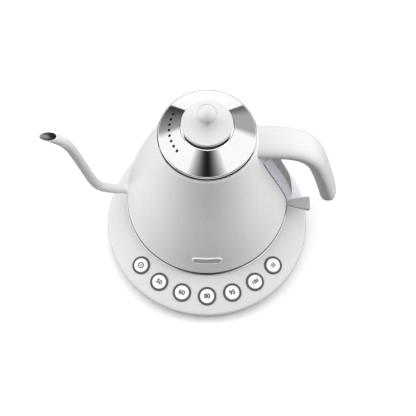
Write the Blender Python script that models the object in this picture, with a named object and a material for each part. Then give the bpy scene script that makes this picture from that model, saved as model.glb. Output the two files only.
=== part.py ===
"""Gooseneck electric kettle standing on its round power base.

Sizes are in millimetres in this file and become metres when a mesh is made.
+Z is up, the spout points to -X, the handle to +X and the keypad faces -Y.
The origin is on the table, at the middle of the whole object's outline.
"""

import math

import bmesh
import bpy
from mathutils import Euler, Matrix, Vector

MM = 0.001
GAP = 0.3

# Power base: a round disc with a shallow sloping top.
BASE_X = 9.7
BASE_RADIUS = 112.5
BASE_RIM_LOW = 5.5
BASE_RIM_HIGH = 14.5
PLATEAU_RADIUS = 72.0
PLATEAU_HEIGHT = 28.0
COVER_WALL = 2.5
BASE_SCREW_RADIUS = 99.0
BASE_SCREW_ANGLES = (-150, -76, 76, 150)
FOOT_RADIUS = 97.0
FOOT_ANGLES = (-140, -40, 40, 140)
GLAND_HEIGHT = 11.0

# Keypad: seven round buttons on an arc round the base's own axis.
KEYPAD_RADIUS = 92.4
KEYPAD_HEIGHT = 24.0
KEYPAD_SLOPE = math.radians(13.4)
KEYPAD_STEP = math.radians(17.3)
KEYS = ("power", "50", "60", "80", "95", "100", "keep_warm")
BEZEL_OUTER = 10.1
BEZEL_INNER = 8.1
CAP_RADIUS = 7.8
STEM_DEPTH = 8.4

# Kettle: it stands behind the middle of the base, round its own axis.
KETTLE_Y = 20.2
BODY_WALL = 1.8
BODY_OUTLINE = (
    (33.3, 89.2),
    (48.0, 88.3),
    (63.0, 86.7),
    (78.0, 83.7),
    (95.0, 78.7),
    (112.0, 73.1),
    (150.0, 60.1),
    (188.0, 49.1),
)
UNDERSIDE = PLATEAU_HEIGHT + GAP
TRIM_RADIUS = 90.8
FLOOR_HEIGHT = 47.0
NECK_RADIUS = 45.0

# Spout: one bent tube, cut level at its mouth.
SPOUT_RADIUS = 5.2
SPOUT_BORE = 4.1
SPOUT_ROOT_X = -83.2
SPOUT_HEIGHT = 58.0
SPOUT_MOUTH_HEIGHT = 187.3
SPOUT_ROUTE = (
    (-91.0, 58.0),
    (-99.0, 58.5),
    (-106.0, 60.0),
    (-113.0, 63.0),
    (-118.5, 68.5),
    (-122.0, 77.5),
    (-125.0, 92.0),
    (-129.0, 119.0),
    (-133.5, 147.5),
    (-136.0, 161.5),
    (-139.0, 170.5),
    (-142.5, 177.0),
    (-147.5, 182.5),
    (-154.0, 187.5),
    (-163.0, 193.0),
)

# Handle: an open hook, hung from the neck.
HANDLE_ROUTE = (
    (50.5, 174.5),
    (67.0, 173.5),
    (83.0, 171.0),
    (96.5, 163.0),
    (107.0, 149.0),
    (113.5, 132.0),
    (121.5, 104.0),
    (128.5, 76.0),
    (132.0, 61.0),
    (135.0, 45.0),
)
HANDLE_HALF_WIDTH = (17.4, 16.3, 13.4)
HANDLE_STEPS = 2
HANDLE_HALF_DEPTH = 9.2
ROUNDNESS = 2.6
SEAM_OFFSET = 2.0
SADDLE_THICKNESS = 2.0
SCREW_HEIGHTS = (169.8, 179.2)

# Level gauge: a tapered frame down the handle side of the body.
GAUGE_LOW = 43.0
GAUGE_HIGH = 158.0
GAUGE_FOOT = 15.5
GAUGE_FACE = 9.4
GAUGE_DEPTH = 5.8
WINDOW_HALF = 7.4

# Blank plate low on the front of the body.
PLATE_HALF_WIDTH = 16.0
PLATE_HEIGHTS = (60.0, 62.5, 72.0)

# Switch lever: it comes out low on the handle side, a little to the front.
LEVER_Y = -8.5
LEVER_PIVOT_X = 81.0
LEVER_HEIGHT = 38.0
LEVER_END_X = 115.0

# Lid: a chrome cone under a white cap and ball knob.
LID_RADIUS = 48.4
LID_LOW = 191.0
LID_RIM = 194.1
CONE_TOP_RADIUS = 26.0
CONE_TOP = 209.8
STEP_RADIUS = 25.2
STEP_TOP = 215.4
CAP_TOP = 217.0
CAP_RIM_RADIUS = 23.8
KNOB_RADIUS = 9.7
KNOB_HEIGHT = 233.0
VENT_RADIUS = 36.3
VENT_COUNT = 8
VENT_PITCH = math.radians(9.3)
VENT_MIDDLE = math.radians(186)
VENT_BORE = 1.3

STEPS = 32
SMALL_STEPS = 16
KEY_STEPS = 16


# ---------------------------------------------------------------- materials


def material(name, colour, roughness, metallic=0.0):
    mat = bpy.data.materials.new(name)
    mat.use_nodes = True
    shader = mat.node_tree.nodes["Principled BSDF"]
    shader.inputs["Base Color"].default_value = (*colour, 1.0)
    shader.inputs["Roughness"].default_value = roughness
    shader.inputs["Metallic"].default_value = metallic
    return mat


# ------------------------------------------------------------ mesh builders


def place(name, bm, mat, parent, location=(0, 0, 0), rotation=(0, 0, 0)):
    """Makes the mesh a named object; location is in millimetres."""
    bmesh.ops.remove_doubles(bm, verts=bm.verts, dist=1e-6)
    bmesh.ops.recalc_face_normals(bm, faces=bm.faces)
    mesh = bpy.data.meshes.new(name)
    bm.to_mesh(mesh)
    bm.free()
    mesh.shade_smooth()
    mesh.set_sharp_from_angle(angle=math.radians(32))
    if mat:
        mesh.materials.append(mat)
    obj = bpy.data.objects.new(name, mesh)
    bpy.context.scene.collection.objects.link(obj)
    obj.parent = parent
    obj.location = Vector(location) * MM
    obj.rotation_euler = rotation
    return obj


def axis_empty(name, location, parent=None, rotation=(0, 0, 0)):
    empty = bpy.data.objects.new(name, None)
    empty.empty_display_size = 0.02
    bpy.context.scene.collection.objects.link(empty)
    empty.parent = parent
    empty.location = Vector(location) * MM
    empty.rotation_euler = rotation
    return empty


def turned(profile, steps=STEPS, ring=False):
    """Spins (radius, height) points round Z; ring joins the last point to the first."""
    bm = bmesh.new()
    verts = [bm.verts.new((r * MM, 0, z * MM)) for r, z in profile]
    edges = [bm.edges.new(pair) for pair in zip(verts, verts[1:])]
    if ring:
        edges.append(bm.edges.new((verts[-1], verts[0])))
    bmesh.ops.spin(
        bm,
        geom=verts + edges,
        cent=(0, 0, 0),
        axis=(0, 0, 1),
        angle=2 * math.pi,
        steps=steps,
        use_merge=True,
    )
    return bm


def lofted(sections, cyclic=False):
    """Skins equal closed sections; cyclic joins the last to the first, else both ends are capped."""
    bm = bmesh.new()
    rows = [[bm.verts.new(Vector(point) * MM) for point in section] for section in sections]
    count = len(rows[0])
    pairs = list(zip(rows, rows[1:]))
    if cyclic:
        pairs.append((rows[-1], rows[0]))
    for low, high in pairs:
        for i in range(count):
            j = (i + 1) % count
            bm.faces.new((low[i], low[j], high[j], high[i]))
    if not cyclic:
        bm.faces.new(rows[0])
        bm.faces.new(rows[-1])
    return bm


def rod(radius, length, steps=SMALL_STEPS, matrix=None):
    """A cylinder from z = 0 to z = length, moved by the matrix."""
    bm = bmesh.new()
    lift = Matrix.Translation((0, 0, length / 2 * MM))
    bmesh.ops.create_cone(
        bm,
        cap_ends=True,
        segments=steps,
        radius1=radius * MM,
        radius2=radius * MM,
        depth=length * MM,
        matrix=(matrix or Matrix.Identity(4)) @ lift,
    )
    return bm


def block(low, high, bevel=0.0):
    """A box between two corners, with its edges bevelled."""
    bm = bmesh.new()
    centre = [(a + b) / 2 * MM for a, b in zip(low, high)]
    size = [(b - a) * MM for a, b in zip(low, high)]
    bmesh.ops.create_cube(bm, size=1.0, matrix=Matrix.LocRotScale(Vector(centre), None, Vector(size)))
    if bevel:
        bmesh.ops.bevel(bm, geom=bm.edges, offset=bevel * MM, segments=2, affect="EDGES", profile=0.5)
    return bm


def add_to(target, source):
    """Moves every face of source into target as a separate shell."""
    mesh = bpy.data.meshes.new("shell")
    source.to_mesh(mesh)
    source.free()
    target.from_mesh(mesh)
    bpy.data.meshes.remove(mesh)


def boolean(obj, bm, operation="DIFFERENCE"):
    """Cuts or joins a helper shape; the helper shares the object's parent and place."""
    helper = place(f"{operation.lower()}_{obj.name}", bm, None, obj.parent)
    helper.location = obj.location
    helper.rotation_euler = obj.rotation_euler
    helper.hide_render = True
    helper.display_type = "WIRE"
    modifier = obj.modifiers.new(helper.name, "BOOLEAN")
    modifier.operation = operation
    modifier.solver = "EXACT"
    modifier.object = helper


def shifted(x=0.0, y=0.0, z=0.0, turn=None):
    move = Matrix.Translation(Vector((x, y, z)) * MM)
    return move @ turn.to_matrix().to_4x4() if turn else move


def along_x(x, y, z):
    """Frame whose Z axis lies along +X, starting at this point."""
    return shifted(x, y, z, Euler((0, math.pi / 2, 0)))


def smooth_route(points, per_span):
    """Catmull-Rom curve through (x, z) points."""
    padded = [Vector(points[0]) * 2 - Vector(points[1])]
    padded += [Vector(point) for point in points]
    padded.append(Vector(points[-1]) * 2 - Vector(points[-2]))
    route = []
    for a, b, c, d in zip(padded, padded[1:], padded[2:], padded[3:]):
        for step in range(per_span):
            t = step / per_span
            route.append(
                0.5
                * (2 * b + (c - a) * t + (2 * a - 5 * b + 4 * c - d) * t**2 + (3 * b - a - 3 * c + d) * t**3)
            )
    route.append(padded[-2])
    return route


def route_normals(route):
    """Unit (x, z) normals on the left of the direction of travel."""
    normals = []
    for i in range(len(route)):
        ahead = route[min(i + 1, len(route) - 1)] - route[max(i - 1, 0)]
        ahead.normalize()
        normals.append(Vector((-ahead.y, ahead.x)))
    return normals


def body_radius(z):
    for (z0, r0), (z1, r1) in zip(BODY_OUTLINE, BODY_OUTLINE[1:]):
        if z <= z1:
            return r0 + (r1 - r0) * max(z - z0, 0.0) / (z1 - z0)
    return BODY_OUTLINE[-1][1]


def body_plug(extra):
    """The body's outer shape grown by this much, as a cutter."""
    low, high = BODY_OUTLINE[0], BODY_OUTLINE[-1]
    profile = [(0, low[0] - 10), (low[1] + extra, low[0] - 10)]
    profile += [(r + extra, z) for z, r in BODY_OUTLINE]
    profile += [(high[1] + extra, high[0] + 10), (0, high[0] + 10)]
    return turned(profile)


def polar(radius, angle):
    """(x, y) at this angle from the front, positive towards the handle side."""
    return radius * math.sin(angle), -radius * math.cos(angle)


# --------------------------------------------------------------------- base


def base_cover(base, mat):
    wall = COVER_WALL
    profile = (
        (0, PLATEAU_HEIGHT),
        (PLATEAU_RADIUS, PLATEAU_HEIGHT),
        (KEYPAD_RADIUS, KEYPAD_HEIGHT),
        (108.4, 19.2),
        (111.4, 17.4),
        (BASE_RADIUS, BASE_RIM_HIGH),
        (111.9, 12.0),
        (110.4, 8.6),
        (108.4, BASE_RIM_LOW),
        (106.6, BASE_RIM_LOW),
        (109.0, 11.5),
        (109.4, BASE_RIM_HIGH),
        (106.8, 19.4 - wall),
        (KEYPAD_RADIUS - 0.6, KEYPAD_HEIGHT - wall),
        (PLATEAU_RADIUS - 0.4, PLATEAU_HEIGHT - wall),
        (0, PLATEAU_HEIGHT - wall),
    )
    cover = place("base_cover", turned(profile), mat, base)
    bosses = bmesh.new()
    bores = rod(17.0 + GAP, 10, STEPS, shifted(0, KETTLE_Y, PLATEAU_HEIGHT - 6))
    for x, y in screw_places():
        add_to(bosses, rod(3.8, 14.5, 8, shifted(x, y, BASE_RIM_LOW)))
        add_to(bores, rod(1.8, 12.0, 8, shifted(x, y, BASE_RIM_LOW - 1)))
    for spot, turn in key_places():
        add_to(bores, rod(BEZEL_OUTER + GAP, 14, KEY_STEPS, shifted(*spot, turn) @ shifted(z=-8)))
    backwards = Euler((-math.pi / 2, 0, 0))
    add_to(bores, rod(4.3, 20, 10, shifted(0, 100, GLAND_HEIGHT, backwards)))
    boolean(cover, bosses, "UNION")
    boolean(cover, bores)


def screw_places():
    return [polar(BASE_SCREW_RADIUS, math.radians(angle)) for angle in BASE_SCREW_ANGLES]


def key_places():
    """(centre on the panel, rotation) of each key, from left to right."""
    places = []
    for index in range(len(KEYS)):
        angle = (index - (len(KEYS) - 1) / 2) * KEYPAD_STEP
        x, y = polar(KEYPAD_RADIUS, angle)
        places.append(((x, y, KEYPAD_HEIGHT), Euler((KEYPAD_SLOPE, 0, angle))))
    return places


def base_pan(base, mat):
    profile = (
        (0, 2.6),
        (103.6, 2.6),
        (106.8, 3.4),
        (108.0, BASE_RIM_LOW - GAP),
        (0, BASE_RIM_LOW - GAP),
    )
    pan = place("base_pan", turned(profile), mat, base)
    holes = bmesh.new()
    for x, y in screw_places():
        hole = turned(((0, 0.6), (3.6, 0.6), (3.6, 3.6), (1.9, 3.6), (1.9, 8.0), (0, 8.0)), 8)
        bmesh.ops.recalc_face_normals(hole, faces=hole.faces)
        bmesh.ops.translate(hole, verts=hole.verts, vec=Vector((x, y, 0)) * MM)
        add_to(holes, hole)
    boolean(pan, holes)


def base_feet_and_screws(base, rubber, steel):
    for index, angle in enumerate(FOOT_ANGLES, start=1):
        foot = ((0, 0), (6.6, 0), (7.4, 0.7), (7.4, 2.3), (0, 2.3))
        spot = (*polar(FOOT_RADIUS, math.radians(angle)), 0)
        place(f"rubber_foot_{index}", turned(foot, 12), rubber, base, spot)
    for index, (x, y) in enumerate(screw_places(), start=1):
        screw = ((0, 1.9), (3.0, 1.9), (3.0, 3.3), (1.4, 3.3), (1.4, 15.0), (0, 16.0))
        place(f"base_screw_{index}", turned(screw, 8), steel, base, (x, y, 0))


def arc_plate(inner, outer, low, high, half_angle, steps):
    """A flat plate shaped as an arc round the base's axis, centred on the front."""
    sections = []
    for step in range(steps + 1):
        angle = half_angle * (2 * step / steps - 1)
        corners = ((inner, low), (outer, low), (outer, high), (inner, high))
        sections.append([(*polar(r, angle), z) for r, z in corners])
    return lofted(sections)


def base_electrics(base, board_mat, silicone, plastic, brass):
    place("control_board", arc_plate(81, 103, 7.6, 9.2, math.radians(62), 12), board_mat, base)
    mat = place("keypad_mat", arc_plate(84, 97, 9.5, 10.7, math.radians(58), 12), silicone, base)
    domes = bmesh.new()
    tip = STEM_DEPTH * math.sin(KEYPAD_SLOPE)
    for (x, y, _), turn in key_places():
        spot = polar(KEYPAD_RADIUS - tip, turn.z)
        dome = turned(((0, 10.0), (4.0, 10.0), (3.0, 13.4), (0, 13.8)), 8)
        bmesh.ops.translate(dome, verts=dome.verts, vec=Vector((*spot, 0)) * MM)
        add_to(domes, dome)
    boolean(mat, domes, "UNION")
    place("power_board", block((-34, 48, 7.6), (34, 86, 9.2)), board_mat, base)
    place("power_relay", block((-9, 56, 9.5), (11, 72, 19.5), 0.8), plastic, base)
    seat = (0, KETTLE_Y, 0)
    post = (
        (0, 8.0),
        (17.0, 8.0),
        (17.0, 20.0),
        (22.0, 20.0),
        (22.0, 25.2),
        (17.0, 25.2),
        (17.0, 27.4),
        (14.2, 28.2),
        (14.2, 41.2),
        (13.2, 42.2),
        (11.2, 42.2),
        (11.2, 34.0),
        (8.4, 34.0),
        (8.4, 42.2),
        (3.6, 42.2),
        (3.6, 34.0),
        (0, 34.0),
    )
    place("coupler_post", turned(post, 16), plastic, base, seat)
    contact = ((8.8, 34.3), (10.7, 34.3), (10.7, 40.0), (8.8, 40.0))
    place("coupler_contact_ring", turned(contact, 16, ring=True), brass, base, seat)
    pin = ((0, 34.3), (2.4, 34.3), (2.4, 40.6), (1.6, 41.6), (0, 41.6))
    place("coupler_pin", turned(pin, 8), brass, base, seat)
    gland = ((2.2, -8), (3.8, -8), (3.8, 0.4), (2.2, 0.4))
    mouth = (0, BASE_RADIUS - 1.0, GLAND_HEIGHT)
    place("cord_gland", turned(gland, 10, ring=True), plastic, base, mouth, (-math.pi / 2, 0, 0))


def keypad(base, bezel_mat, cap_mat):
    for key, (spot, turn) in zip(KEYS, key_places()):
        bezel = (
            (BEZEL_INNER, -4.6),
            (BEZEL_OUTER, -4.6),
            (BEZEL_OUTER, 0.1),
            (BEZEL_OUTER - 0.4, 0.7),
            (BEZEL_INNER + 0.3, 0.7),
            (BEZEL_INNER, 0.4),
        )
        place(f"bezel_{key}", turned(bezel, KEY_STEPS, ring=True), bezel_mat, base, spot, turn)
        cap = (
            (0, -STEM_DEPTH),
            (2.4, -STEM_DEPTH),
            (2.4, -3.4),
            (CAP_RADIUS, -3.4),
            (CAP_RADIUS, 0.7),
            (CAP_RADIUS - 0.7, 1.3),
            (0, 1.1),
        )
        place(f"button_{key}", turned(cap, KEY_STEPS), cap_mat, base, spot, turn)


# ------------------------------------------------------------------- kettle


def body_shell(kettle, mat):
    profile = [(r, z) for z, r in BODY_OUTLINE]
    profile += [(r - BODY_WALL, z) for z, r in reversed(BODY_OUTLINE)]
    shell = place("body_shell", turned(profile, ring=True), mat, kettle)
    holes = rod(SPOUT_RADIUS + 0.45, 12, matrix=along_x(-92, 0, SPOUT_HEIGHT))
    for z in SCREW_HEIGHTS:
        add_to(holes, rod(1.8, 16, 12, along_x(44, 0, z)))
    slot = block((LEVER_PIVOT_X, LEVER_Y - 5.5, 33.9), (96, LEVER_Y + 5.5, 42.5))
    add_to(holes, slot)
    boolean(shell, holes)


def spout(kettle, mat, steel):
    route = [Vector((SPOUT_ROOT_X, SPOUT_HEIGHT))] + smooth_route(SPOUT_ROUTE, 1)
    normals = route_normals(route)
    sides = 12

    def section(radius, centre, normal):
        ring = []
        for side in range(sides):
            angle = 2 * math.pi * side / sides
            offset = normal * radius * math.cos(angle)
            ring.append((centre.x + offset.x, radius * math.sin(angle), centre.y + offset.y))
        return ring

    outer = [section(SPOUT_RADIUS, *pair) for pair in zip(route, normals)]
    inner = [section(SPOUT_BORE, *pair) for pair in zip(route, normals)]
    tube = place("spout_tube", lofted(outer + inner[::-1], cyclic=True), mat, kettle)
    boolean(tube, block((-175, -12, SPOUT_MOUTH_HEIGHT), (-135, 12, SPOUT_MOUTH_HEIGHT + 20)))
    plate = rod(7.4, 1.0, 16, along_x(-82.4, 0, SPOUT_HEIGHT))
    strainer = place("spout_strainer", plate, steel, kettle)
    holes = rod(1.1, 4, 6, along_x(-84, 0, SPOUT_HEIGHT))
    for step in range(6):
        angle = math.radians(60 * step)
        spot = along_x(-84, 4.4 * math.cos(angle), SPOUT_HEIGHT + 4.4 * math.sin(angle))
        add_to(holes, rod(1.1, 4, 6, spot))
    boolean(strainer, holes)


def kettle_bottom(kettle, chrome, plastic, steel, silicone, brass):
    trim = (
        (84.6, 30.5),
        (87.3, 30.5),
        (87.3, 28.8),
        (TRIM_RADIUS - 0.6, 28.8),
        (TRIM_RADIUS, 29.4),
        (TRIM_RADIUS - 0.6, 30.2),
        (88.9, 30.7),
        (88.7, 33.0),
        (84.6, 33.0),
    )
    place("bottom_trim_ring", turned(trim, ring=True), chrome, kettle)
    cover = (
        (20.4, UNDERSIDE),
        (85.4, UNDERSIDE),
        (86.9, 29.2),
        (86.9, 30.2),
        (84.2, 30.2),
        (84.2, 32.6),
        (82.4, 32.6),
        (82.4, 30.8),
        (20.4, 30.8),
    )
    place("bottom_cover", turned(cover, ring=True), plastic, kettle)
    low, high = FLOOR_HEIGHT, FLOOR_HEIGHT + 1.6
    floor = place("heating_plate", turned(((0, low), (82.4, low), (82.4, high), (0, high))), steel, kettle)
    boolean(floor, rod(3.4, 8, 12, shifted(26, 0, FLOOR_HEIGHT - 3)))
    gasket = ((82.7, low - 1.2), (85.9, low - 1.2), (85.7, high + 1), (82.7, high + 1))
    place("plate_gasket", turned(gasket, ring=True), silicone, kettle)
    probe = ((0, low - 9), (3.0, low - 9), (3.0, low + 6), (1.8, low + 9), (0, low + 9.5))
    place("temperature_sensor", turned(probe, 8), brass, kettle, (26, 0, 0))
    sections = []
    for step in range(21):
        angle = math.radians(20 + 320 * step / 20)
        ring = []
        for side in range(8):
            lean = 2 * math.pi * side / 8
            radius = 58 + 3.6 * math.cos(lean)
            ring.append((radius * math.cos(angle), radius * math.sin(angle), low - 4.2 + 3.6 * math.sin(lean)))
        sections.append(ring)
    place("heating_element", lofted(sections), steel, kettle)


def coupler_socket(axis, plastic):
    cup = (
        (0, 45.8),
        (20.0, 45.8),
        (20.0, 28.6),
        (15.4, 28.6),
        (15.4, 43.8),
        (0, 43.8),
    )
    place("coupler_socket", turned(cup, 16), plastic, axis)


def neck_collar(kettle, chrome):
    profile = (
        (NECK_RADIUS, 183.6),
        (46.9, 183.6),
        (46.9, 188.3),
        (48.2, 188.3),
        (48.2, 190.5),
        (NECK_RADIUS, 190.5),
    )
    place("neck_collar", turned(profile, ring=True), chrome, kettle)


def on_body(z, sideways, outward):
    """A point this far outside the body's wall on the handle side."""
    radius = body_radius(z) + outward
    return (math.sqrt(radius**2 - sideways**2), sideways, z)


def gauge(kettle, chrome, window_mat):
    frame_rings = []
    window_rings = []
    count = 12
    for step in range(count + 1):
        part = step / count
        z = GAUGE_LOW + (GAUGE_HIGH - GAUGE_LOW) * part
        spread = min(1.0, 0.30 + 0.70 * math.sin(min(part / 0.42, 1.0) * math.pi / 2))
        depth = GAUGE_DEPTH * min(1.0, 0.35 + part / 0.12)
        foot = GAUGE_FOOT * (0.55 + 0.45 * spread)
        face = GAUGE_FACE * spread
        window = WINDOW_HALF * spread
        outline = (
            (-foot, 0.6),
            (-face, depth),
            (-window, depth),
            (-window, depth - 1.6),
            (window, depth - 1.6),
            (window, depth),
            (face, depth),
            (foot, 0.6),
            (foot * 0.5, 0.5),
            (0, 0.5),
            (-foot * 0.5, 0.5),
        )
        frame_rings.append([on_body(z, w, d) for w, d in outline])
        pane = window - GAP
        corners = ((-pane, depth - 1.3), (-pane, depth), (0, depth + 0.25), (pane, depth), (pane, depth - 1.3))
        window_rings.append([on_body(z, w, d) for w, d in corners])
    place("gauge_frame", lofted(frame_rings), chrome, kettle)
    place("gauge_window", lofted(window_rings[1:-1]), window_mat, kettle)


def half_width(part):
    """The handle's half width from its root (0) to its tip (1)."""
    root, middle, tip = HANDLE_HALF_WIDTH
    if part < 0.5:
        return root + (middle - root) * part * 2
    return middle + (tip - middle) * (part - 0.5) * 2


def handle_piece(low, high, inset, levels):
    """A slice of the handle between two offsets from its centre line."""
    route = smooth_route(HANDLE_ROUTE, HANDLE_STEPS)
    last = len(route) - 1
    tip_start = route[-1 - HANDLE_STEPS]
    tip_end = route[-1]
    del route[-1 - HANDLE_STEPS :]
    parts = [index / last for index in range(len(route))]
    closes = [1.0] * len(parts)
    for angle in (0, 25, 45, 62, 76, 86):
        way = math.sin(math.radians(angle))
        route.append(tip_start.lerp(tip_end, way))
        parts.append(1 - HANDLE_STEPS * (1 - way) / last)
        closes.append(math.cos(math.radians(angle)) ** 0.9)
    normals = route_normals(route)
    sections = []
    for centre, normal, part, close in zip(route, normals, parts, closes):
        side = []
        for level in range(levels + 1):
            up = low + (high - low) * (1 - math.cos(math.pi * level / levels)) / 2
            bulge = (1 - abs(up / HANDLE_HALF_DEPTH) ** ROUNDNESS) ** (1 / ROUNDNESS)
            side.append(((half_width(part) * bulge - inset) * close, up * close))
        ring = side + [(-across, up) for across, up in reversed(side)]
        sections.append([(centre.x + normal.x * up, across, centre.y + normal.y * up) for across, up in ring])
    return lofted(sections)


def handle(kettle, white, grey, chrome, steel):
    deep = HANDLE_HALF_DEPTH * 0.998
    slices = (
        ("handle_grip", SEAM_OFFSET + 0.45, deep, 0.0, 6, white),
        ("handle_trim", SEAM_OFFSET - 0.6, SEAM_OFFSET + 0.15, -0.15, 1, chrome),
        ("handle_liner", -deep, SEAM_OFFSET - 0.9, 0.5, 6, grey),
    )
    for name, low, high, inset, levels, mat in slices:
        piece = place(name, handle_piece(low, high, inset, levels), mat, kettle)
        boolean(piece, body_plug(GAP * 2 + SADDLE_THICKNESS))
        if name != "handle_trim":
            z = SCREW_HEIGHTS[name == "handle_grip"]
            boolean(piece, rod(1.8, 22, 12, along_x(46, 0, z)))
    rings = []
    for z in (163.5, 170.5, 177.5, 184.5):
        inner = [on_body(z, 15 * side, GAP + 0.15) for side in (-1, -0.5, 0, 0.5, 1)]
        outer = [on_body(z, 15 * side, GAP + SADDLE_THICKNESS) for side in (1, 0.5, 0, -0.5, -1)]
        rings.append(inner + outer)
    saddle = place("handle_saddle", lofted(rings), steel, kettle)
    holes = bmesh.new()
    for z in SCREW_HEIGHTS:
        add_to(holes, rod(1.8, 16, 12, along_x(46, 0, z)))
    boolean(saddle, holes)
    for name, z in zip(("handle_screw_lower", "handle_screw_upper"), SCREW_HEIGHTS):
        head = body_radius(z) - BODY_WALL - 2.9
        profile = ((0, 0), (2.7, 0), (2.7, 1.7), (1.4, 1.7), (1.4, 17), (0, 18))
        place(name, turned(profile, 8), steel, kettle, (head, 0, z), (0, math.pi / 2, 0))


def name_plate(kettle, steel):
    """A small blank plate on the front of the body."""
    rings = []
    for z in PLATE_HEIGHTS:
        radius = body_radius(z)
        ring = []
        for depth, sides in ((0.5, (-1, -0.5, 0, 0.5, 1)), (1.5, (0.97, 0.5, 0, -0.5, -0.97))):
            for side in sides:
                x = PLATE_HALF_WIDTH * side
                ring.append((x, -math.sqrt((radius + depth) ** 2 - x**2), z))
        rings.append(ring)
    place("name_plate", lofted(rings), steel, kettle)


def switch_lever(kettle, grey, steel):
    """The lever's origin is on its hinge pin."""
    pivot = axis_empty("lever_axis", (LEVER_PIVOT_X, LEVER_Y, LEVER_HEIGHT), kettle)
    sections = []
    reach = LEVER_END_X - LEVER_PIVOT_X
    for x, wide, thick in (
        (3.0, 3.0, 2.4),
        (9.5, 3.0, 1.8),
        (11.5, 3.8, 2.0),
        (14.0, 4.8, 2.4),
        (24.0, 6.8, 3.0),
        (reach - 2.0, 8.2, 3.4),
        (reach, 7.4, 2.4),
    ):
        drop = -0.10 * max(x - 9.5, 0)
        ring = []
        for step in range(12):
            angle = 2 * math.pi * (step + 0.5) / 12
            across = math.copysign(abs(math.cos(angle)) ** 0.6, math.cos(angle))
            up = math.copysign(abs(math.sin(angle)) ** 0.6, math.sin(angle))
            ring.append((x, wide * across, thick * up + drop))
        sections.append(ring)
    lever = place("switch_lever", lofted(sections), grey, pivot)
    side = Euler((math.pi / 2, 0, 0))
    boolean(lever, rod(3.8, 8, 16, shifted(0, 4, 0, side)), "UNION")
    boolean(lever, rod(1.8, 12, 16, shifted(0, 6, 0, side)))
    pin = rod(1.5, 14, 16, shifted(0, LEVER_Y + 7, 0, side))
    place("lever_pin", pin, steel, kettle, (LEVER_PIVOT_X, 0, LEVER_HEIGHT))


# ---------------------------------------------------------------------- lid


def lid(axis, chrome, white, plastic, silicone, steel):
    cone = (
        (LID_RADIUS, LID_LOW),
        (LID_RADIUS, LID_RIM - 2.0),
        (LID_RADIUS - 0.8, LID_RIM),
        (LID_RADIUS - 2.2, LID_RIM + 1.4),
        (CONE_TOP_RADIUS, CONE_TOP),
        (STEP_RADIUS, CONE_TOP + 0.8),
        (STEP_RADIUS, STEP_TOP),
        (STEP_RADIUS - 1.1, STEP_TOP),
        (STEP_RADIUS - 1.1, CONE_TOP),
        (46.6, LID_RIM - 0.9),
        (47.0, LID_LOW),
    )
    chrome_cone = place("lid_cone", turned(cone, ring=True), chrome, axis)
    vents = bmesh.new()
    for index in range(VENT_COUNT):
        angle = VENT_MIDDLE + (index - (VENT_COUNT - 1) / 2) * VENT_PITCH
        spot = (VENT_RADIUS * math.cos(angle), VENT_RADIUS * math.sin(angle), 196)
        add_to(vents, rod(VENT_BORE, 12, 8, shifted(*spot)))
    boolean(chrome_cone, vents)
    cap = (
        (2.2, 212.4),
        (STEP_RADIUS - 1.4, 212.4),
        (STEP_RADIUS - 1.4, 215.7),
        (CAP_RIM_RADIUS + 0.3, 215.7),
        (CAP_RIM_RADIUS, CAP_TOP),
        (12.0, 218.0),
        (6.0, 218.7),
        (4.2, 220.2),
        (4.0, 225.0),
        (2.2, 225.0),
    )
    place("lid_cap", turned(cap, 32, ring=True), white, axis)
    low_angle = math.acos(7.7 / KNOB_RADIUS)
    ball = [(0, 232.0), (2.0, 232.0), (2.0, 225.3)]
    for step in range(9):
        angle = low_angle + (math.pi - low_angle) * step / 8
        ball.append((KNOB_RADIUS * math.sin(angle), KNOB_HEIGHT - KNOB_RADIUS * math.cos(angle)))
    place("lid_knob", turned(ball, 20), white, axis)
    screw = ((0, 209.0), (3.6, 209.0), (3.6, 212.0), (1.6, 212.0), (1.6, 231.0), (0, 231.6))
    place("lid_screw", turned(screw, 10), steel, axis)
    skirt = (
        (0, 191.6),
        (41.5, 191.6),
        (41.5, 176.0),
        (43.4, 176.0),
        (43.4, 191.4),
        (46.0, 191.4),
        (46.0, 192.6),
        (0, 192.6),
    )
    plug = place("lid_skirt", turned(skirt), plastic, axis)
    boolean(plug, block((-34, -9, 188), (-24, 9, 195)))
    seal = ((43.7, 185.0), (44.7, 185.8), (44.7, 187.4), (43.7, 188.2))
    place("lid_seal", turned(seal, ring=True), silicone, axis)


# ----------------------------------------------------------------- assembly


def clear_scene():
    for obj in list(bpy.data.objects):
        bpy.data.objects.remove(obj, do_unlink=True)


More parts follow.
